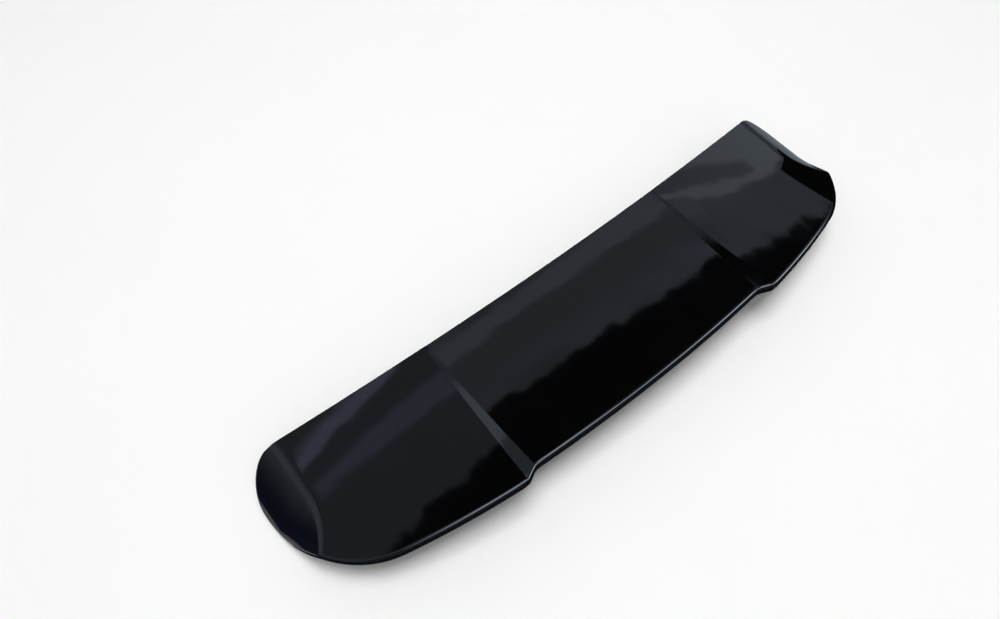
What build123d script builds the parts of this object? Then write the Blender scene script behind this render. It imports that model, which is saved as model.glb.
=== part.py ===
from build123d import *
from math import asin, atan, cos, degrees, radians, sin
import os

# Roof spoiler: one moulded shell, open underneath and along its front edge.
# X runs across the car, +Y points forward and +Z up. The origin lies at the middle of the base.

# Plan outline
overall_width = 1260
overall_depth = 320
front_bow = 33
front_corner_width = 55
front_corner_depth = 72
rear_corner_width = 181
rear_corner_lead = 34
rear_corner_sweep = 78
trailing_bow = 11
center_setback = 13.5

# Centre panel and the steps beside it
center_half_width = 255
step_run = 25
step_height = 7
step_front_x = 266
step_front_run = 0.8
step_front_height = 0.1

# Skin
wall = 3.5
crown_radius = 4400
chord_radius = 1900
chord_low_y = 80

# End lobes
lobe_width = 82
crease_radius = 33
lobe_angle = 35
lobe_radius = 490
flare_start_y = 48
flare_radius = 112
flare_stations = 6

# Lip and rim
lip_depth = 18
lip_front_depth = 8
rim_trim = 4

# Margins of the cutting blocks around the shell
margin = 6
lobe_overrun = 30

# Places worked out from the sizes
front_y = overall_depth / 2
rear_y = -overall_depth / 2
tip_x = overall_width / 2
tip_y = front_y - front_corner_depth
rear_corner_depth = overall_depth - front_corner_depth - rear_corner_lead
front_corner_x = tip_x - front_corner_width
crease_half_width = tip_x - lobe_width
step_outer_x = center_half_width + step_run
step_inner_y = rear_y + center_setback
lip_swing = degrees(atan((lip_depth - lip_front_depth) / overall_depth))


def crown_drop(x):
    """Fall of the crown from the middle of the car to x."""
    return crown_radius * (1 - cos(asin(x / crown_radius)))


def chord_rise(y):
    """Rise of the skin fore and aft of its lowest line."""
    return (y - chord_low_y) ** 2 / (2 * chord_radius)


def crease_x(y):
    """Half width at which the skin turns down into the end lobe, flaring towards the rear."""
    return crease_half_width + max(0, flare_start_y - y) ** 2 / (2 * flare_radius)


def lobe_end_angle(reach):
    """Slope of the lobe, in degrees, at a distance outside the crease."""
    crown_slope = crease_half_width / crown_radius
    lobe_start = crease_radius * (sin(radians(lobe_angle)) - crown_slope)
    return degrees(asin(sin(radians(lobe_angle)) + (reach - lobe_start) / lobe_radius))


def lobe_drop(reach):
    """Fall of the lobe from the crease to a distance outside it."""
    crown_angle = asin(crease_half_width / crown_radius)
    start_drop = crease_radius * (cos(crown_angle) - cos(radians(lobe_angle)))
    end_slope = radians(lobe_end_angle(reach))
    return start_drop + lobe_radius * (cos(radians(lobe_angle)) - cos(end_slope))


# The skin stands so high that the rim of the lobes reaches rim_trim below the base plane.
tip_lip = lip_front_depth + (lip_depth - lip_front_depth) * front_corner_depth / overall_depth
skin_z = crown_drop(crease_half_width) + lobe_drop(lobe_width) + tip_lip - rim_trim - chord_rise(tip_y)
block_height = 2 * skin_z
lobe_turn = lobe_end_angle(lobe_width + lobe_overrun) - lobe_angle

# Stations along the car: one at each end, the rest where the crease flares.
first_y = front_y + margin
last_y = rear_y - margin
flare_step = (flare_start_y - last_y) / (flare_stations - 1)
stations = [first_y, (first_y + flare_start_y) / 2]
stations += [flare_start_y - flare_step * i for i in range(flare_stations)]


# Block under the skin, lofted through sections across the car.
with BuildPart() as skin_block:
    for y in stations:
        inner_share = (first_y - y) / (first_y - step_inner_y)
        outer_share = (first_y - y) / (first_y - rear_y)
        inner_x = step_front_x + (center_half_width - step_front_x) * inner_share
        outer_front_x = step_front_x + step_front_run
        outer_x = outer_front_x + (step_outer_x - outer_front_x) * outer_share
        drop = step_front_height + (step_height - step_front_height) * outer_share
        crown_center = skin_z + chord_rise(y) - crown_radius
        inner_angle = degrees(asin(inner_x / crown_radius))
        outer_angle = degrees(asin(outer_x / crown_radius))
        crease_angle = degrees(asin(crease_x(y) / crown_radius))
        with BuildSketch(Plane.XZ.offset(-y)):
            with BuildLine():
                center = CenterArc((0, crown_center - drop), crown_radius, 90 - inner_angle, 2 * inner_angle)
                side = CenterArc(
                    (0, crown_center), crown_radius, 90 - outer_angle, outer_angle - crease_angle
                )
                step = Line(center @ 0, side @ 0)
                crease = JernArc(side @ 1, side % 1, crease_radius, crease_angle - lobe_angle)
                lobe = JernArc(crease @ 1, crease % 1, lobe_radius, -lobe_turn)
                end = Line(lobe @ 1, ((lobe @ 1).X, -block_height))
                mirror([side, step, crease, lobe, end], about=Plane.YZ)
                Line(end @ 1, (-(end @ 1).X, -block_height))
            make_face()
    loft()


def rim_lines(inset):
    """Draws the rim in plan, from one front corner round the rear to the other, set in by inset."""
    front_corner = EllipticalCenterArc(
        (front_corner_x, tip_y), front_corner_width - inset, front_corner_depth - inset, 0, arc_size=90
    )
    rear_corner = EllipticalCenterArc(
        (tip_x - rear_corner_width, tip_y),
        rear_corner_width - inset,
        rear_corner_depth - inset,
        0,
        arc_size=-rear_corner_sweep,
    )
    step_outer = Vector(step_outer_x, rear_y + inset)
    step_inner = Vector(center_half_width, step_inner_y + inset)
    side_trailing = TangentArc(rear_corner @ 1, step_outer, tangent=rear_corner % 1)
    step_end = Line(step_outer, step_inner)
    mirror([front_corner, rear_corner, side_trailing, step_end], about=Plane.YZ)
    center_bow = Vector(0, step_inner.Y - trailing_bow)
    ThreePointArc(step_inner, center_bow, Vector(-center_half_width, step_inner.Y))


# Hollow under the skin, inside the lip and open through the front edge
open_front_y = front_y + margin
with BuildPart() as hollow:
    with BuildSketch(Plane.XY.offset(-margin)):
        with BuildLine():
            rim_lines(wall)
            Polyline(
                (front_corner_x, front_y - wall),
                (front_corner_x, open_front_y),
                (-front_corner_x, open_front_y),
                (-front_corner_x, front_y - wall),
            )
        make_face()
    extrude(amount=block_height)
    with Locations((0, 0, -wall)):
        add(skin_block.part, mode=Mode.INTERSECT)

# The lip is deepest along the trailing edge and shallowest at the front corners.
lip_floor = skin_block.part.moved(Location((0, 0, -lip_front_depth)))
lip_floor = lip_floor.rotate(Axis((0, front_y, skin_z), (1, 0, 0)), lip_swing)

with BuildPart() as spoiler_shell:
    with BuildSketch():
        with BuildLine():
            rim_lines(0)
            ThreePointArc((-front_corner_x, front_y), (0, front_y - front_bow), (front_corner_x, front_y))
        make_face()
    extrude(amount=block_height)
    add(skin_block.part, mode=Mode.INTERSECT)
    add(lip_floor, mode=Mode.SUBTRACT)
    add(hollow.part, mode=Mode.SUBTRACT)

spoiler_shell.part.label = "spoiler_shell"
os.makedirs("parts", exist_ok=True)
export_step(spoiler_shell.part, "parts/spoiler_shell.step")
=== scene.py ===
from math import cos, radians, sin

import bpy
import numpy as np
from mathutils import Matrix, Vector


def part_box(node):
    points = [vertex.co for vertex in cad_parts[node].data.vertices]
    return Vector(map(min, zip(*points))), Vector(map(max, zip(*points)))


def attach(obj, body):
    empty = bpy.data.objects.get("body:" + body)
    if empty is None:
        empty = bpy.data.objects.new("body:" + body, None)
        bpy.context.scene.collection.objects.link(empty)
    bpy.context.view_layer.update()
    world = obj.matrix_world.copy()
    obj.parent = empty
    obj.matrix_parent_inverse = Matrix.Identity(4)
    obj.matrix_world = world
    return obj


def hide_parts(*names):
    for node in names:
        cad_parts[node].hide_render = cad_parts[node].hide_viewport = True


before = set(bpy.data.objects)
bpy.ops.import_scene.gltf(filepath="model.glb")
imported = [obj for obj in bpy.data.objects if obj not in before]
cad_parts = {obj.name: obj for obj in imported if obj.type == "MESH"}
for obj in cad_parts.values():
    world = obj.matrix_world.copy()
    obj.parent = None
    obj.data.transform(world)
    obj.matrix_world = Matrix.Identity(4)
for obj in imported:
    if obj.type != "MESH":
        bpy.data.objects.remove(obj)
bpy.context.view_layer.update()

cad_low, cad_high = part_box("spoiler_shell")
bpy.ops.object.select_all(action="DESELECT")

# Spoiler shell
# One plastic moulding with an even wall, sprayed gloss black under clear lacquer and left bare underneath.
# It is bonded to the rear edge of a car's roof behind its front edge, and its lip hangs free at the rear.
mm = 0.001
wall = 3.5 * mm
tip_x, front_y, rear_y = cad_high[0], cad_high[1], cad_low[1]

# Plan of the shell, one half of it
front_bow = 33 * mm
front_corner_width = 55 * mm
front_corner_depth = 72 * mm
rear_corner_width = 181 * mm
rear_corner_lead = 34 * mm
rear_corner_sweep = radians(78)
trailing_bow = 11 * mm
center_setback = 13.5 * mm
center_half_width = 255 * mm
step_run = 25 * mm
step_front_x = 266 * mm
step_front_run = 0.8 * mm
front_margin = 6 * mm

# Curves of the skin
crown_radius = 4400 * mm
chord_radius = 1900 * mm
chord_low_y = 80 * mm
step_height = 7 * mm
step_front_height = 0.1 * mm
lobe_width = 82 * mm
crease_radius = 33 * mm
lobe_angle = radians(35)
lobe_radius = 490 * mm
flare_start_y = 48 * mm
flare_radius = 112 * mm

# Lip and edges. Towards the front corners the rounds of the rim and of the front edge fade out.
lip_depth = 18 * mm
lip_front_depth = 8 * mm
rim_round = 6 * mm
rim_round_fade = 40 * mm
corner_ease = 3.5 * mm
edge_round = 0.7 * mm
edge_round_fade = 20 * mm
least_round = 0.3 * mm

# Places worked out from the sizes
tip_y = front_y - front_corner_depth
front_corner_x = tip_x - front_corner_width
rear_corner_depth = front_y - rear_y - front_corner_depth - rear_corner_lead
crease_half_width = tip_x - lobe_width
step_outer_x = center_half_width + step_run
step_inner_y = rear_y + center_setback
step_start_y = front_y + front_margin


def crown(x):
    """Height of the crown at x, against the middle of the car."""
    return np.sqrt(crown_radius ** 2 - x ** 2) - crown_radius


def chord_rise(y):
    """Rise of the skin fore and aft of its lowest line."""
    return (y - chord_low_y) ** 2 / (2 * chord_radius)


def crease_line(y):
    """Half width at which the skin starts to turn down into the end lobe."""
    return crease_half_width + np.maximum(0, flare_start_y - y) ** 2 / (2 * flare_radius)


def step_inner_line(y):
    """Half width of the centre panel, at the foot of the step."""
    share = (step_start_y - y) / (step_start_y - step_inner_y)
    return step_front_x + (center_half_width - step_front_x) * share


def step_outer_line(y):
    """Half width at the head of the step."""
    start = step_front_x + step_front_run
    return start + (step_outer_x - start) * (step_start_y - y) / (step_start_y - rear_y)


def fillet_width(y):
    """Width of the round between the side panel and the lobe."""
    return crease_radius * (sin(lobe_angle) - crease_line(y) / crown_radius)


def round_line(y):
    """Half width at which that round ends and the lobe starts."""
    return crease_line(y) + fillet_width(y)


def center_drop(y):
    """How far the centre panel lies below the crown."""
    growth = (step_height - step_front_height) * (step_start_y - y) / (step_start_y - rear_y)
    return step_front_height + growth


# The middle of the trailing edge is the highest place of the shell.
center_rear_y = step_inner_y - trailing_bow
skin_z = cad_high[2] - chord_rise(center_rear_y) + center_drop(center_rear_y)


def skin_height(x, y):
    """Height of the outside of the skin at a place in plan, with x on the positive half."""
    inner, outer, crease = step_inner_line(y), step_outer_line(y), crease_line(y)
    drop = center_drop(y)
    climb = np.clip((x - inner) / (outer - inner), 0, 1)
    step = (1 - climb) * (crown(inner) - drop) + climb * crown(outer)
    center = np.where(x < inner, crown(x) - drop, step)
    panel = np.where(x > outer, crown(np.minimum(x, crease)), center)
    beyond = np.maximum(0, x - crease)
    crease_slope = crease / crown_radius
    round_slope = crease_slope + np.minimum(beyond, fillet_width(y)) / crease_radius
    lobe_slope = sin(lobe_angle) + np.maximum(0, beyond - fillet_width(y)) / lobe_radius
    round_fall = crease_radius * (np.sqrt(1 - crease_slope ** 2) - np.sqrt(1 - round_slope ** 2))
    lobe_fall = lobe_radius * (cos(lobe_angle) - np.sqrt(1 - lobe_slope ** 2))
    return skin_z + chord_rise(y) + panel - round_fall - lobe_fall


# How many points draw the lines of the plan
line_points = 60
side_trailing_points = 80
rear_corner_points = 120


def bowed_line(half_width, end_y, bow, start_x, end_x):
    """Points of an edge that bows to the rear by bow in the middle of the car, from one x to another."""
    radius = (half_width ** 2 + bow ** 2) / (2 * bow)
    x = np.linspace(start_x, end_x, line_points)
    return np.stack([x, end_y - bow + radius - np.sqrt(radius ** 2 - x ** 2)], -1)


def front_line(start_x, end_x):
    """Points of the front edge between two half widths."""
    return bowed_line(front_corner_x, front_y, front_bow, start_x, end_x)


def line_along(half_width, start, end):
    """Points of a line that runs fore and aft at the half width that a function gives."""
    y = np.linspace(start, end, line_points)
    return np.stack([half_width(y), y], -1)


def front_end_y(half_width):
    """Where such a line meets the front edge, found more closely in each round."""
    rounds = 8
    y = front_y
    for _ in range(rounds):
        x = half_width(y)
        y = front_line(x, x)[0][1]
    return y


def outward(points):
    """Directions that point out of the plan, square to a line that runs round it."""
    run = np.gradient(points, axis=0)
    out = np.stack([run[:, 1], -run[:, 0]], -1)
    return out / np.linalg.norm(out, axis=1, keepdims=True)


def spread(points, shares):
    """Points at given shares of the way along a line."""
    run = np.append(0, np.cumsum(np.hypot(*np.diff(points[:, :2], axis=0).T)))
    at = np.asarray(shares) * run[-1]
    return np.stack([np.interp(at, run, values) for values in points.T], -1)


# End of the shell in plan, from the head of the step round the rear corner and the tip to the front
turn = np.linspace(rear_corner_sweep, 0, rear_corner_points)
rear_corner = np.stack([
    tip_x - rear_corner_width + rear_corner_width * np.cos(turn),
    tip_y - rear_corner_depth * np.sin(turn),
], -1)
turn = np.linspace(0, radians(90), line_points)
front_corner = np.stack([
    front_corner_x + front_corner_width * np.cos(turn),
    tip_y + front_corner_depth * np.sin(turn),
], -1)
step_head_end = np.array([step_outer_x, rear_y])
step_foot_end = np.array([center_half_width, step_inner_y])
to_step = step_head_end - rear_corner[0]
inward = -outward(rear_corner)[0]
trailing_radius = to_step @ to_step / (2 * (to_step @ inward))
trailing_center = rear_corner[0] + trailing_radius * inward
end_turns = [np.arctan2(*(point - trailing_center)[::-1]) for point in (step_head_end, rear_corner[0])]
turn = np.linspace(*np.unwrap(end_turns), side_trailing_points)
side_trailing = trailing_center + trailing_radius * np.stack([np.cos(turn), np.sin(turn)], -1)
end_rim = np.concatenate([side_trailing, rear_corner[1:], front_corner[1:]])

# The whole rim of one half in short even lengths, with the corners at the foot and head of the step eased
rim_pitch = 0.5 * mm
ease_reach = 4 * corner_ease
center_trailing = bowed_line(center_half_width, step_inner_y, trailing_bow, 0, center_half_width)
rim_plan = np.concatenate([center_trailing, end_rim])
rim_length = np.hypot(*np.diff(rim_plan, axis=0).T).sum()
rim_plan = spread(rim_plan, np.linspace(0, 1, round(rim_length / rim_pitch)))
foot, head = (int(np.argmin(np.hypot(*(rim_plan - end).T))) for end in (step_foot_end, step_head_end))
reach = round(ease_reach / rim_pitch)
weights = np.exp(-0.5 * (np.arange(-reach, reach + 1) * rim_pitch / corner_ease) ** 2)
weights /= weights.sum()
eased = slice(foot - reach, head + reach)
rim_plan[eased] = np.stack([
    np.convolve(values[eased.start - reach:eased.stop + reach], weights, "valid") for values in rim_plan.T
], -1)
rim_out = outward(rim_plan)

# Along the rim: how steeply the skin falls to it, and the radius of its round outside and inside the wall
probe = 1 * mm
inside = rim_plan - probe * rim_out
rim_slope = np.arctan((skin_height(*inside.T) - skin_height(*rim_plan.T)) / probe)
from_front = np.append(np.cumsum(np.hypot(*np.diff(rim_plan[::-1], axis=0).T))[::-1], 0)
outer_radius = rim_round * np.clip(from_front / rim_round_fade, 0, 1)
inner_radius = np.maximum(outer_radius - wall, least_round)


def skin_ends(inset, radius):
    """Where the skin ends along the rim: its place in plan, the way out, the slope and the radius."""
    back = inset + radius * (1 - np.sin(rim_slope))
    return np.column_stack([rim_plan - rim_out * back[:, None], rim_out, rim_slope, radius])


def panel_points(inner, outer, front, rear, across, along):
    """Points in rows from front to rear that fill the plan between four lines."""
    inner, outer = spread(inner, along)[:, None], spread(outer, along)[:, None]
    front, rear = spread(front, across)[None], spread(rear[:, :2], across)[None]
    u, v = np.asarray(across)[None, :, None], np.asarray(along)[:, None, None]
    corners = (1 - v) * ((1 - u) * front[:, :1] + u * front[:, -1:])
    corners = corners + v * ((1 - u) * rear[:, :1] + u * rear[:, -1:])
    return (1 - u) * inner + u * outer + (1 - v) * front + v * rear - corners


def skin_line(half_width, end):
    """Points of a line on the skin, from the front edge to its end on the rim."""
    line = line_along(half_width, front_end_y(half_width), end[1])
    line[-1] = end[:2]
    return line


def middle_line(y):
    """Half width of the middle of the car, which is nothing all along."""
    return 0 * y


# The panels from the middle outwards: the line at which each starts, and how many columns it has
panel_starts = (middle_line, step_inner_line, step_outer_line, crease_line, round_line)
panel_counts = (19, 4, 38, 9, 41)
panel_columns = [np.linspace(0, 1, count) for count in panel_counts]
step_foot_column = panel_counts[0] - 1
step_head_column = step_foot_column + panel_counts[1] - 1


def skin_plan(ends, shares):
    """Plan of the skin in rows from the front edge to the rim, and the rim's values at each column."""
    at = [int(np.argmax(ends[:, 0] > start(ends[:, 1]))) for start in panel_starts[1:]]
    at = [0, *at, len(ends) - 1]
    front_corner_point = ends[[-1, -1], :2]
    borders = [skin_line(start, ends[index]) for start, index in zip(panel_starts, at)]
    borders.append(front_corner_point)
    plan, edge = [], []
    for number, across in enumerate(panel_columns):
        first = 1 if plan else 0
        inner, outer = borders[number:number + 2]
        rear = ends[at[number]:at[number + 1] + 1]
        front = front_line(inner[0][0], outer[0][0])
        plan.append(panel_points(inner, outer, front, rear, across, shares)[:, first:])
        edge.append(spread(rear, across)[first:])
    return np.concatenate(plan, axis=1), np.concatenate(edge)


rim_row_count = 8


def rim_rows(edge, edge_z):
    """Rows that turn round the rim, from the edge of the skin until they point straight down."""
    edge_x, edge_y, out_x, out_y, slope, radius = edge.T
    rows = []
    for share in np.linspace(0, 1, rim_row_count + 1)[1:]:
        angle = slope + (radians(90) - slope) * share
        reach = radius * (np.sin(angle) - np.sin(slope))
        fall = radius * (np.cos(slope) - np.cos(angle))
        rows.append(np.stack([edge_x + reach * out_x, edge_y + reach * out_y, edge_z - fall], -1))
    return rows


# The outside and the inside of the skin. Both start a little behind the front edge, which is rounded.
# The outside has even rows, and a closer one beside each of its two edges.
beside_edge = 0.004
even_start = 0.014
outer_row_count = 82
inner_row_count = 44
even_rows = np.linspace(even_start, 1 - even_start, outer_row_count)
outer_shares = np.concatenate([[0, beside_edge], even_rows, [1 - beside_edge, 1]])
inner_shares = np.linspace(0, 1, inner_row_count)
outer_ends, inner_ends = skin_ends(0, outer_radius), skin_ends(wall, inner_radius)
outer_plan, outer_edge = skin_plan(outer_ends, outer_shares)
inner_plan, inner_edge = skin_plan(inner_ends, inner_shares)
front_ease = edge_round * np.clip((front_corner_x - outer_plan[0, :, 0]) / edge_round_fade, 0, 1)
outer_plan[0, :, 1] -= front_ease
inner_plan[0, :, 1] -= front_ease
outer_skin = np.dstack([outer_plan, skin_height(outer_plan[..., 0], outer_plan[..., 1])])
inner_skin = np.dstack([inner_plan, skin_height(inner_plan[..., 0], inner_plan[..., 1]) - wall])
outer_rim = rim_rows(outer_edge, outer_skin[-1, :, 2])
inner_rim = rim_rows(inner_edge, inner_skin[-1, :, 2])

# A quarter round in three turns: how far each has gone along the first face, and how far off it
quarter_turns = (radians(30), radians(60), radians(90))
bend = [(sin(turn), 1 - cos(turn)) for turn in quarter_turns]

# The lip hangs from the rim and is deepest at the rear: rows down its outside and round its lower edges
lip_top = outer_rim[-1]
rim_z = outer_skin[-1, :, 2]
lip_share = (front_y - lip_top[:, 1]) / (front_y - rear_y)
lip_low = rim_z - lip_front_depth - (lip_depth - lip_front_depth) * lip_share
lip_profile = [(0, np.minimum(rim_z - wall, lip_top[:, 2] - least_round)), (0, lip_low + edge_round)]
lip_profile += [(edge_round * fall, lip_low + edge_round * (1 - reach)) for reach, fall in bend]
lip_profile += [(wall - edge_round, lip_low)]
lip_profile += [(wall - edge_round * (1 - reach), lip_low + edge_round * fall) for reach, fall in bend]
lip = [np.column_stack([lip_top[:, :2] - inset * outer_edge[:, 2:4], z]) for inset, z in lip_profile]

# The front edge: rows up from the inside of the skin to its outside
front_x, front_start, front_z = outer_skin[0].T
front_profile = [(reach, front_z - wall + front_ease * fall) for reach, fall in bend]
front_profile += [(reach, front_z - front_ease * fall) for reach, fall in reversed(bend)]
front_face = [np.stack([front_x, front_start + front_ease * reach, z], -1) for reach, z in front_profile]

# A flat grid of 1 m by 1 m is drawn out over the half shell, row by row, once round the wall.
surface = np.concatenate([
    outer_skin, outer_rim, lip, inner_rim[::-1], inner_skin[::-1], front_face, outer_skin[:1],
])
row_count, column_count = surface.shape[:2]
inside_end = row_count - 1 - len(front_face)
inside_start = inside_end - len(inner_skin) - len(inner_rim) - 1
bpy.ops.mesh.primitive_grid_add(x_subdivisions=column_count - 1, y_subdivisions=row_count - 1, size=1)
shell = bpy.context.object
shell.name = "spoiler_shell_skin"
mesh = shell.data
places = {}
for vertex in mesh.vertices:
    row = round((0.5 - vertex.co.y) * (row_count - 1))
    column = round((0.5 + vertex.co.x) * (column_count - 1))
    places[vertex.index] = row, column
    vertex.co = surface[row, column]

# Foot and head of the step are sharp lines up to the round of the rim, and the inside has no paint.
for edge in mesh.edges:
    (row_a, column_a), (row_b, column_b) = (places[index] for index in edge.vertices)
    on_step = column_a == column_b and column_a in (step_foot_column, step_head_column)
    edge.use_edge_sharp = on_step and max(row_a, row_b) < len(outer_skin)
for face in mesh.polygons:
    face_rows = [places[index][0] for index in face.vertices]
    face.material_index = int(min(face_rows) >= inside_start and max(face_rows) < inside_end)

# The rows are closed to a ring, the half is mirrored, and the lip's ends at the front corners are closed.
same_place = 0.001 * mm
middle_gap = 0.05 * mm
bpy.ops.object.mode_set(mode="EDIT")
bpy.ops.mesh.select_all(action="SELECT")
bpy.ops.mesh.remove_doubles(threshold=same_place)
bpy.ops.object.mode_set(mode="OBJECT")
mirror = shell.modifiers.new("Mirror", "MIRROR")
mirror.use_clip = True
mirror.merge_threshold = middle_gap
bpy.ops.object.modifier_apply(modifier=mirror.name)
bpy.ops.object.mode_set(mode="EDIT")
bpy.ops.mesh.select_all(action="SELECT")
bpy.ops.mesh.fill_holes(sides=0)

# The rims of the lobes are cut off flat at the base, and what turns sharply is shaded as an edge.
sharp_turn = radians(50)
bpy.ops.mesh.select_all(action="SELECT")
bpy.ops.mesh.bisect(plane_co=(0, 0, cad_low[2]), plane_no=(0, 0, 1), clear_inner=True, use_fill=True,
                    threshold=same_place)
bpy.ops.mesh.select_all(action="DESELECT")
bpy.ops.mesh.edges_select_sharp(sharpness=sharp_turn)
bpy.ops.mesh.mark_sharp()
bpy.ops.object.mode_set(mode="OBJECT")
bpy.ops.object.shade_smooth(keep_sharp_edges=True)


def add_node(material, kind, **inputs):
    """Adds a node to a material and sets its inputs by name, with _ for a space."""
    node = material.node_tree.nodes.new(kind)
    for name, value in inputs.items():
        node.inputs[name.replace("_", " ")].default_value = value
    return node


def new_material(name):
    """A material with its shader, its link function and the object's own coordinates."""
    material = bpy.data.materials.new(name)
    material.use_nodes = True
    place = add_node(material, "ShaderNodeTexCoord")
    return material, material.node_tree.nodes["Principled BSDF"], material.node_tree.links.new, place


def add_noise(material, place, scale, detail=2.0):
    """Noise at a number of features a metre, on the object's own coordinates."""
    noise = add_node(material, "ShaderNodeTexNoise", Scale=scale, Detail=detail)
    material.node_tree.links.new(place.outputs["Object"], noise.inputs["Vector"])
    return noise


def add_bump(material, height, depth, below=None):
    """A bump of a real depth in metres, on top of another one where there is one below it."""
    bump = add_node(material, "ShaderNodeBump", Strength=1.0, Distance=depth)
    material.node_tree.links.new(height.outputs["Fac"], bump.inputs["Height"])
    if below:
        material.node_tree.links.new(below.outputs["Normal"], bump.inputs["Normal"])
    return bump


def add_blend(material, share, low, high):
    """A colour between two, by a noise."""
    ramp = add_node(material, "ShaderNodeValToRGB")
    ramp.color_ramp.elements[0].color = (*low, 1)
    ramp.color_ramp.elements[1].color = (*high, 1)
    material.node_tree.links.new(share.outputs["Fac"], ramp.inputs["Fac"])
    return ramp


def add_range(material, share, low, high):
    """A number between two, by a noise that lies for the most part between noise_least and noise_most."""
    noise_least, noise_most = 0.3, 0.7
    spread_out = add_node(material, "ShaderNodeMapRange", From_Min=noise_least, From_Max=noise_most,
                          To_Min=low, To_Max=high)
    material.node_tree.links.new(share.outputs["Fac"], spread_out.inputs["Value"])
    return spread_out


# Gloss black paint: a blue-black base under clear lacquer, with a slow wave and fine orange peel
deep_black, hazy_black = (0.0008, 0.0008, 0.0010), (0.0015, 0.0015, 0.0018)
gloss, shader, link, place = new_material("gloss_black_lacquer")
shader.inputs["IOR"].default_value = 1.45
shader.inputs["Specular IOR Level"].default_value = 0.0
shader.inputs["Coat Weight"].default_value = 1.0
shader.inputs["Coat Roughness"].default_value = 0.02
shader.inputs["Coat IOR"].default_value = 1.5
haze = add_noise(gloss, place, scale=9.0, detail=4.0)
link(add_blend(gloss, haze, deep_black, hazy_black).outputs["Color"], shader.inputs["Base Color"])
link(add_range(gloss, haze, low=0.28, high=0.42).outputs["Result"], shader.inputs["Roughness"])
slow_wave = add_noise(gloss, place, scale=16.0, detail=1.0)
fine_wave = add_noise(gloss, place, scale=420.0, detail=1.0)
mould_wave = add_bump(gloss, slow_wave, depth=0.045 * mm)
orange_peel = add_bump(gloss, fine_wave, depth=0.001 * mm, below=mould_wave)
for socket in ("Normal", "Coat Normal"):
    link(orange_peel.outputs["Normal"], shader.inputs[socket])

# Bare underside: satin moulded plastic with a fine grain
bare_dark, bare_light = (0.011, 0.011, 0.012), (0.021, 0.021, 0.022)
bare, shader, link, place = new_material("bare_moulded_plastic")
shader.inputs["IOR"].default_value = 1.5
cloud = add_noise(bare, place, scale=24.0, detail=5.0)
link(add_blend(bare, cloud, bare_dark, bare_light).outputs["Color"], shader.inputs["Base Color"])
link(add_range(bare, cloud, low=0.42, high=0.6).outputs["Result"], shader.inputs["Roughness"])
grain = add_bump(bare, add_noise(bare, place, scale=1400.0, detail=3.0), depth=0.02 * mm)
link(grain.outputs["Normal"], shader.inputs["Normal"])

mesh.materials.append(gloss)
mesh.materials.append(bare)
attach(shell, "root")
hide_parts("spoiler_shell")

# Studio
# A wide pale floor under soft light: a grey dome that darkens towards the floor, and a soft box overhead.
# Black flags and pale cards stand around the part and dark mats lie beside it, and only gloss shows them.
# They glow and light nothing: they are painted reflections, and the mats are a painted darker reflection
# of the floor.
floor_width = 40.0
floor_z = cad_low[2] - 0.2 * mm
floor_dim, floor_bright = (0.93, 0.93, 0.93), (0.95, 0.95, 0.95)
bpy.ops.mesh.primitive_plane_add(size=floor_width, location=(0, 0, floor_z))
floor = bpy.context.object
floor.name = "floor"
pale, shader, link, place = new_material("pale_floor")
scuffs = add_noise(pale, place, scale=3.0)
link(add_blend(pale, scuffs, floor_dim, floor_bright).outputs["Color"], shader.inputs["Base Color"])
shader.inputs["Roughness"].default_value = 0.9
shader.inputs["Specular IOR Level"].default_value = 0.0
floor.data.materials.append(pale)

# Tints of the cards, and the tone of the black ones
cool, mauve, violet, blue = (0.88, 1.0, 1.16), (0.93, 1.0, 1.24), (0.95, 1.0, 1.45), (0.75, 1.0, 2.2)
black = 0.006


def add_card(name, tone, columns, fades=(0, 0, 0, 0), tint=cool):
    """A glowing card of an even tone that only gloss shows, a painted reflection that lights nothing, from
    the low and the high end of each of its columns.

    The fades are how far it fades out beyond its first and last column, its low ends and its high ends.
    """
    low, high = np.array(columns, float).transpose(1, 0, 2)
    rise = (high - low) / np.linalg.norm(high - low, axis=1, keepdims=True)
    lines = np.stack([low - fades[2] * rise, low, high, high + fades[3] * rise])
    aside = lines[:, [0, -1]] - lines[:, [1, -2]]
    aside *= np.array(fades[:2])[:, None] / np.linalg.norm(aside, axis=2, keepdims=True)
    sides = lines[:, [0, -1]] + aside
    points = np.concatenate([sides[:, :1], lines, sides[:, 1:]], axis=1)
    last_line, last_column = points.shape[0] - 1, points.shape[1] - 1
    bpy.ops.mesh.primitive_grid_add(x_subdivisions=last_column, y_subdivisions=last_line, size=1)
    card = bpy.context.object
    card.name = name
    cover = card.data.attributes.new("cover", "FLOAT", "POINT")
    for vertex in card.data.vertices:
        line, column = round((0.5 + vertex.co.y) * last_line), round((0.5 + vertex.co.x) * last_column)
        vertex.co = points[line, column]
        cover.data[vertex.index].value = 0 < line < last_line and 0 < column < last_column
    material, shader, link = new_material(name)[:3]
    shader.inputs["Base Color"].default_value = (0, 0, 0, 1)
    shader.inputs["Specular IOR Level"].default_value = 0.0
    shader.inputs["Emission Color"].default_value = (*(tone * part for part in tint), 1)
    shader.inputs["Emission Strength"].default_value = 1.0
    covered = add_node(material, "ShaderNodeAttribute")
    covered.attribute_name = "cover"
    link(covered.outputs["Fac"], shader.inputs["Alpha"])
    card.data.materials.append(material)
    card.visible_camera = False
    card.visible_diffuse = False
    card.visible_shadow = False
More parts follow.
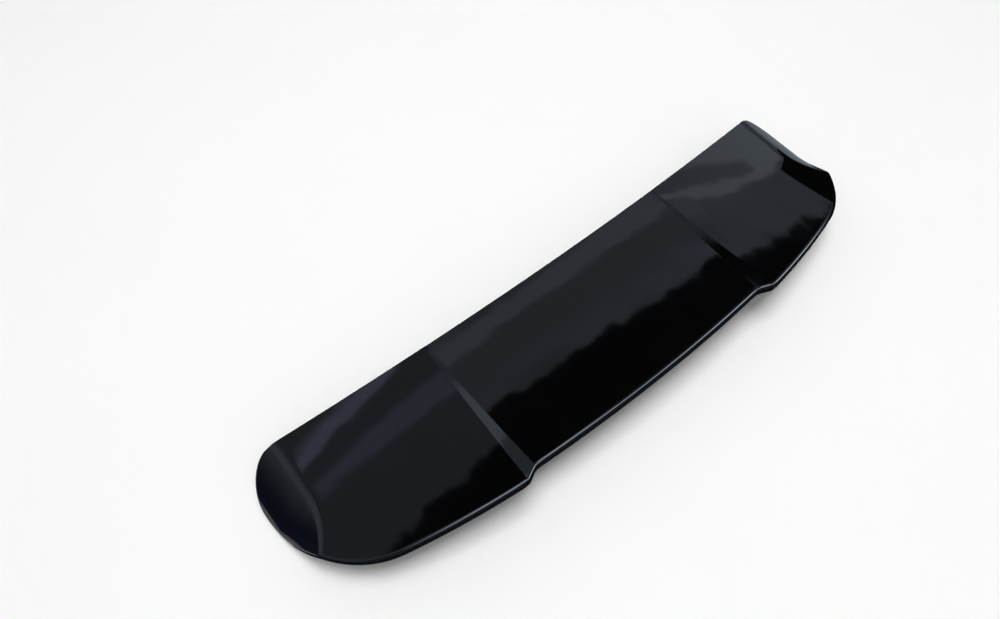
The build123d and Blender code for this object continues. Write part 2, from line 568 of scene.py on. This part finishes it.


# Upright cards 8 m in front, which paint the reflections in the top of the shell: the tone, tint and fades
# of each, and the place, foot and head of its columns
card_y = 8.0
card_spacing = 0.0025
upright_cards = {
    "right_shade": (0.5, mauve, (0.2, 0.4, 0.05, 0.25), [
        (16.6, 17.7, 18.4), (17.3, 17.25, 17.9), (18.1, 16.8, 17.35), (19.0, 16.3, 16.85),
        (19.9, 15.78, 16.1), (20.7, 15.4, 15.5)]),
    "right_card": (0.93, cool, (0.05, 1.0, 0.06, 0.1), [
        (16.75, 17.12, 18.4), (17.8, 16.47, 17.8), (18.65, 16.05, 17.5), (19.7, 15.6, 17.1),
        (20.7, 15.17, 16.75), (22.8, 14.3, 15.75)]),
    "step_card": (0.95, cool, (0.3, 0.3, 0.1, 0.3), [(10.4, 15.62, 16.5), (13.0, 15.62, 16.5)]),
    "front_flag": (black, cool, (0.3, 0.1, 0.1, 0.06), [
        (2.2, 18.8, 20.55), (3.2, 18.8, 20.66), (4.3, 18.7, 20.42), (6.0, 18.6, 20.38), (7.7, 18.5, 20.18),
        (9.4, 18.4, 19.95), (11.1, 18.2, 19.6), (12.8, 18.0, 19.22), (14.4, 17.8, 18.83),
        (15.5, 17.6, 18.6), (16.6, 17.5, 18.42)]),
    "right_flag": (black, cool, (0.8, 1.0, 2.0, 0.06), [
        (15.3, 13.0, 15.97), (16.8, 12.8, 15.55), (17.6, 12.6, 15.28), (18.5, 12.4, 14.97),
        (19.5, 12.2, 14.6), (20.6, 12.0, 14.2), (21.6, 11.7, 13.85), (22.8, 11.5, 13.45)]),
    "left_flag": (black, cool, (1.0, 1.5, 1.5, 0.06), [
        (-5.5, 14.4, 16.68), (-4.1, 14.4, 17.03), (-2.1, 14.4, 17.38), (2.0, 14.4, 17.72)]),
    "left_streak": (0.75, violet, (0.8, 0.8, 0.08, 0.35), [
        (-5.5, 19.2, 19.5), (-4.5, 19.55, 19.8), (-3.7, 19.83, 20.08), (-2.9, 19.98, 20.25),
        (-2.1, 20.15, 20.45), (0.3, 20.55, 20.8)]),
    "left_haze": (0.47, violet, (1.0, 1.0, 0.1, 0.15), [
        (-5.2, 18.5, 18.7), (-3.6, 18.72, 19.05), (-1.3, 18.98, 19.45), (1.3, 19.1, 19.65)]),
    "left_shade": (0.27, cool, (1.5, 0.4, 1.0, 0.5), [(-6.5, 14.0, 20.9), (1.6, 14.0, 20.9)]),
    "front_band": (0.65, mauve, (0.4, 1.5, 0.05, 0.2), [
        (2.3, 22.42, 23.0), (6.3, 22.3, 22.8), (8.0, 22.12, 22.6), (9.8, 21.82, 22.4), (11.5, 21.47, 22.1),
        (13.3, 21.1, 21.9), (15.0, 20.65, 21.4), (17.0, 20.05, 20.9)]),
    "front_shade": (0.38, cool, (0.4, 1.5, 0.6, 0.05), [
        (2.3, 21.5, 22.4), (6.3, 21.4, 22.28), (8.0, 21.2, 22.1), (9.8, 20.9, 21.8), (11.5, 20.6, 21.45),
        (13.3, 20.2, 21.08), (15.0, 19.8, 20.63), (17.0, 19.2, 20.03)]),
}

# Heads of the flags, which paint the edge of a reflected tree line: how many columns draw them, and the
# height, pitch and shift of their waves
tree_columns = 60
tree_waves = ((0.03, 2.9, 0), (0.02, 5.3, 1), (0.01, 11, 2))


def with_treeline(columns):
    """A flag's columns drawn finer, with heads that go up and down a little, as far-off trees do."""
    at, foot, head = np.array(columns).T
    x = np.linspace(at[0], at[-1], tree_columns)
    waves = sum(height * np.sin(pitch * x + shift) for height, pitch, shift in tree_waves)
    return np.stack([x, np.interp(x, at, foot), np.interp(x, at, head) + waves], -1)


# Each stands a little behind the one before it, and is larger by as much.
for index, (name, (tone, tint, fades, columns)) in enumerate(upright_cards.items()):
    share = 1 + card_spacing * index
    if name.endswith("flag"):
        columns = with_treeline(columns)
    ends = [((x, card_y, foot), (x, card_y, head)) for x, foot, head in columns]
    add_card(name, tone, np.array(ends) * share, fades, tint)

# Small level cards above the right half, painted reflections: a row for the panel's front corner, and a
# black one for its step
corner_z = 7.0
corner_left, corner_middle, corner_right = 6.1, 6.5, 7.05
corner_slope = 0.151
corner_fades = (0.05, 0.1, 0.006, 0.006)
for name, tone, tint, rear, front in (
    ("corner_dusk", 0.5, mauve, 3.12, 3.175),
    ("corner_card", 0.93, cool, 3.181, 3.212),
    ("corner_haze", 0.56, cool, 3.218, 3.265),
    ("corner_shade", 0.42, cool, 3.271, 3.34),
):
    ends = [
        [(x, y + corner_slope * (x - corner_middle), corner_z) for y in (rear, front)]
        for x in (corner_left, corner_right)
    ]
    add_card(name, tone, ends, corner_fades, tint)
step_flag_z = 5.0
step_flag = [((x, 1.735, step_flag_z), (x, 1.797, step_flag_z)) for x in (1.15, 1.45)]
add_card("right_step_flag", black, step_flag, (0.1, 0.1, 0.03, 0.003))

# Beside the left end a dark flag and a pale card, which draw the crease as a painted reflection, and a low
# dark flag, a painted dark reflection in the lobe
crease_x = -8.0
crease_flag = [
    ((crease_x, 7.7, 14.2), (crease_x, 7.7, 19.2)),
    ((crease_x, 11.0, 17.4), (crease_x, 10.6, 20.5)),
]
crease_card = [
    ((crease_x, 1.5, 4.5), (crease_x, 1.5, 9.5)),
    ((crease_x, 8.0, 3.0), (crease_x, 8.0, 9.5)),
]
lobe_flag_x, lobe_flag_head = -7.9, 0.3
lobe_flag = [((lobe_flag_x, y, 0), (lobe_flag_x, y, lobe_flag_head)) for y in (-4, 10)]
add_card("crease_flag", 0.08, crease_flag, (0.3, 0.3, 0.3, 0.3))
add_card("crease_card", 0.6, crease_card, (0.3, 0.3, 2.0, 0.3))
add_card("lobe_flag", 0.05, lobe_flag, (1.5, 1.5, 0, 2.2), blue)

# Close beside the right end a low black board, higher towards the front, a painted dark reflection in the
# right end
board_x = 0.9
right_board = [((board_x, y, 0), (board_x, y, head)) for y, head in ((-0.3, 0.253), (0.165, 0.337))]
add_card("right_board", black, right_board)

# Behind the camera a black flag, which darkens the rim with a painted dark reflection
rear_flag_y, rear_flag_foot, rear_flag_head = -8.0, 7.0, 16.0
rear_flag = [((x, rear_flag_y, rear_flag_foot), (x, rear_flag_y, rear_flag_head)) for x in (-14, 14)]
add_card("rear_flag", black, rear_flag, (2.0, 2.0, 2.5, 0.5))

# Overhead a bright card in the place of the soft box, which itself doesn't show in gloss: a painted
# highlight of the soft box
overhead_z = 4.9
overhead_ends = (-0.7, 0.7)
overhead_card = [[(x, y, overhead_z) for y in overhead_ends] for x in overhead_ends]
add_card("overhead_card", 4.0, overhead_card, (0.9, 0.9, 0.7, 0.7))

# High up at the rear a card that paints a highlight, a bright line along the rim: place, rear and front of
# its columns
rim_card_z = 10.0
rim_columns = [
    (-3, -4.0, -3.4), (2, -4.2, -3.3), (5, -4.8, -3.1),
    (8.5, -5.9, -2.7), (11, -6.4, -2.4), (17, -5.6, -1.6),
]
rim_card = [((x, rear, rim_card_z), (x, front, rim_card_z)) for x, rear, front in rim_columns]
add_card("rim_card", 11.0, rim_card, (2.0, 2.0, 0.8, 0.8))

# Mats on the floor, a painted darker reflection of the floor beside the part: the tone and the fades of
# each, its left and right edge, and its rear and front edge
mat_z = cad_low[2] - 0.1 * mm
for name, tone, tint, fades, left, right, rear, front in (
    ("left_mat", 0.06, blue, (4.0, 0.1, 2.0, 4.0), -14.0, -0.95, -6.0, 14.0),
    ("right_mat", 0.27, cool, (0, 6.0, 0, 4.0), 0.4, 4.0, 0.02, 4.0),
    ("rear_mat", 0.02, cool, (1.0, 6.0, 4.0, 0), -1.6, 4.0, -4.0, 0.02),
):
    add_card(name, tone, [((x, rear, mat_z), (x, front, mat_z)) for x in (left, right)], fades, tint)

# Dome of the studio: its tone by the height of the direction
dome = [(0.0, 0.13), (0.09, 0.20), (0.19, 0.32), (0.27, 0.42), (0.40, 0.45), (0.93, 0.44), (1.0, 0.60)]
world = bpy.data.worlds.new("studio")
bpy.context.scene.world = world
world.use_nodes = True
nodes, link = world.node_tree.nodes, world.node_tree.links.new
direction = nodes.new("ShaderNodeTexCoord").outputs["Generated"]
height = nodes.new("ShaderNodeSeparateXYZ")
dome_tone = nodes.new("ShaderNodeValToRGB")
link(direction, height.inputs["Vector"])
link(height.outputs["Z"], dome_tone.inputs["Fac"])
ramp = dome_tone.color_ramp
new_element_place = 0.5
while len(ramp.elements) < len(dome):
    ramp.elements.new(new_element_place)
for element, (at, level) in zip(ramp.elements, dome):
    element.position = at
    element.color = (level, level, level, 1)

# Gloss shows the dome a little bluer, with soft streaks: a painted reflection, while the dome's light on
# things stays grey.
stretch = nodes.new("ShaderNodeMapping")
stretch.inputs["Scale"].default_value = (4, 40, 4)
streaks = nodes.new("ShaderNodeTexNoise")
streaks.inputs["Scale"].default_value = 1.0
streak_level = nodes.new("ShaderNodeMapRange")
streak_level.inputs["To Min"].default_value = 0.5
streak_level.inputs["To Max"].default_value = 1.5
streak_tint = nodes.new("ShaderNodeVectorMath")
streak_tint.operation = "SCALE"
streak_tint.inputs["Vector"].default_value = (0.86, 1.0, 1.18)
seen_by = nodes.new("ShaderNodeLightPath")
gloss_tint = nodes.new("ShaderNodeMixRGB")
gloss_tint.blend_type = "MULTIPLY"
link(direction, stretch.inputs["Vector"])
link(stretch.outputs["Vector"], streaks.inputs["Vector"])
link(streaks.outputs["Fac"], streak_level.inputs["Value"])
link(streak_level.outputs["Result"], streak_tint.inputs["Scale"])
link(streak_tint.outputs["Vector"], gloss_tint.inputs["Color2"])
link(seen_by.outputs["Is Glossy Ray"], gloss_tint.inputs["Fac"])
link(dome_tone.outputs["Color"], gloss_tint.inputs["Color1"])
link(gloss_tint.outputs["Color"], nodes["Background"].inputs["Color"])

# A soft box overhead
soft_box_z = 5.0
bpy.ops.object.light_add(type="AREA", location=(0, 0, soft_box_z))
soft_box = bpy.context.object
soft_box.name = "soft_box"
soft_box.data.shape = "SQUARE"
soft_box.data.size = 2.2
soft_box.data.energy = 158
soft_box.visible_camera = False
soft_box.visible_glossy = False

# Camera at the photograph's height and angle
camera_place = (-0.52884, -0.39766, 1.25366)
camera_turn = (radians(29.3), 0, radians(-38.65))
bpy.ops.object.camera_add(location=camera_place, rotation=camera_turn)
camera = bpy.context.object
camera.data.sensor_width = 36
camera.data.lens = 27.508
bpy.context.scene.camera = camera
bpy.context.scene.view_settings.view_transform = "Standard"
